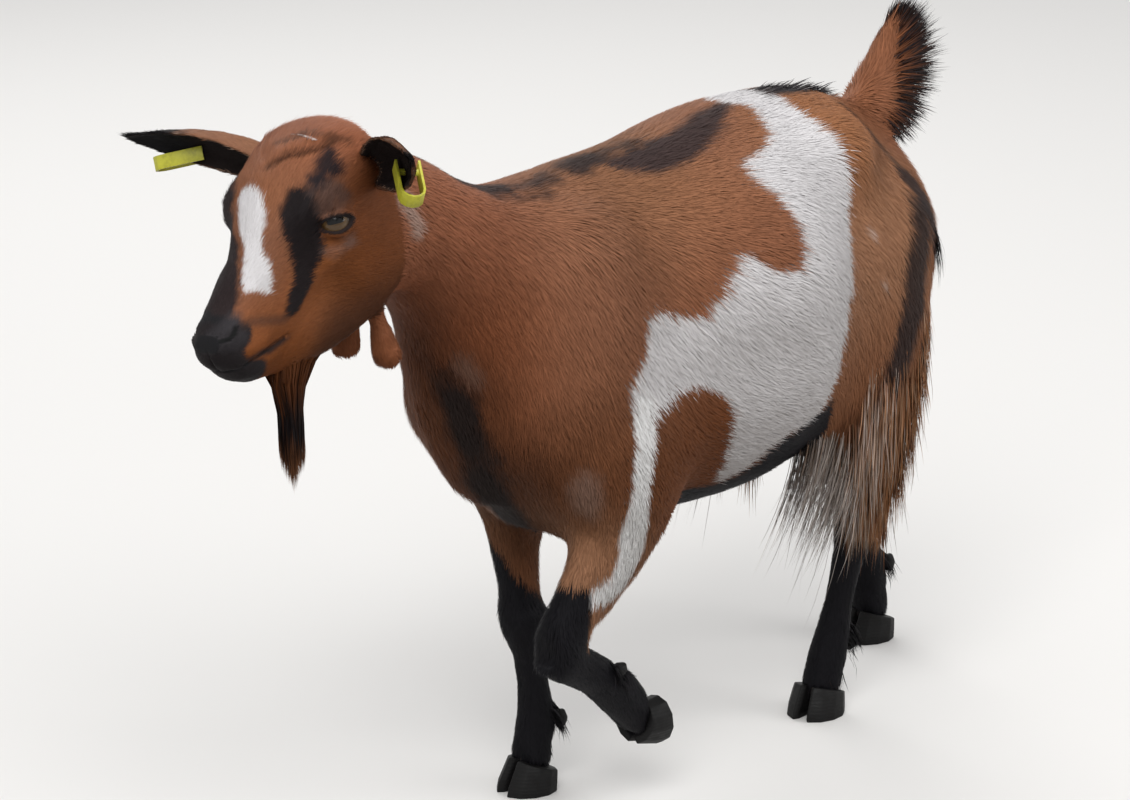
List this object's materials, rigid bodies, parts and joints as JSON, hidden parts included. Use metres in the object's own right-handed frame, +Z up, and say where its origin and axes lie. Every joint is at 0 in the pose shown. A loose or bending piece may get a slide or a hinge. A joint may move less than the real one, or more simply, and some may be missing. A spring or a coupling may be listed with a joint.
{
  "type": "goat",
  "caption": "Life-size still model of a hornless dwarf goat in mid-walk: a pied chestnut and white coat, dark legs, tagged ears, a beard and wattles.",
  "frame": {"origin": "middle of the goat's bounding box, on the floor that the hooves stand on", "axes": "+X runs from the head to the tail, so the goat faces -X; -Y is its left side; +Z is up"},
  "size_m": [0.943, 0.3092, 0.6463],
  "materials": {
    "coat_chestnut": "short sleek hair, lying flat",
    "coat_black": "short sleek hair, lying flat",
    "hoof_horn": "dull dark horn",
    "eye_amber": "wet and glossy",
    "tag_plastic": "satin moulded plastic"
  },
  "bodies": {
    "root": {"head": "coat_chestnut", "neck": "coat_chestnut", "forearm_right": "coat_chestnut", "foreclaw_right_inner": "hoof_horn", "foredewclaw_right_inner": "hoof_horn", "foreclaw_right_outer": "hoof_horn", "foredewclaw_right_outer": "hoof_horn", "foreshank_right": "coat_black", "forearm_left": "coat_chestnut", "foreclaw_left_inner": "hoof_horn", "foredewclaw_left_inner": "hoof_horn", "foreclaw_left_outer": "hoof_horn", "foredewclaw_left_outer": "hoof_horn", "foreshank_left": "coat_black", "hindthigh_left": "coat_chestnut", "hindclaw_left_inner": "hoof_horn", "hinddewclaw_left_inner": "hoof_horn", "hindclaw_left_outer": "hoof_horn", "hinddewclaw_left_outer": "hoof_horn", "hindshank_left": "coat_black", "hindthigh_right": "coat_chestnut", "hindclaw_right_inner": "hoof_horn", "hinddewclaw_right_inner": "hoof_horn", "hindclaw_right_outer": "hoof_horn", "hinddewclaw_right_outer": "hoof_horn", "hindshank_right": "coat_black", "tail": "coat_chestnut", "tail_brush": "coat_black", "trunk": "coat_chestnut", "ear_left": "coat_chestnut", "ear_tag_left": "tag_plastic", "eye_left": "eye_amber", "ear_right": "coat_chestnut", "ear_tag_right": "tag_plastic", "eye_right": "eye_amber", "beard": "coat_chestnut", "wattle_left": "coat_chestnut", "wattle_right": "coat_chestnut"}
  },
  "joints": []
}
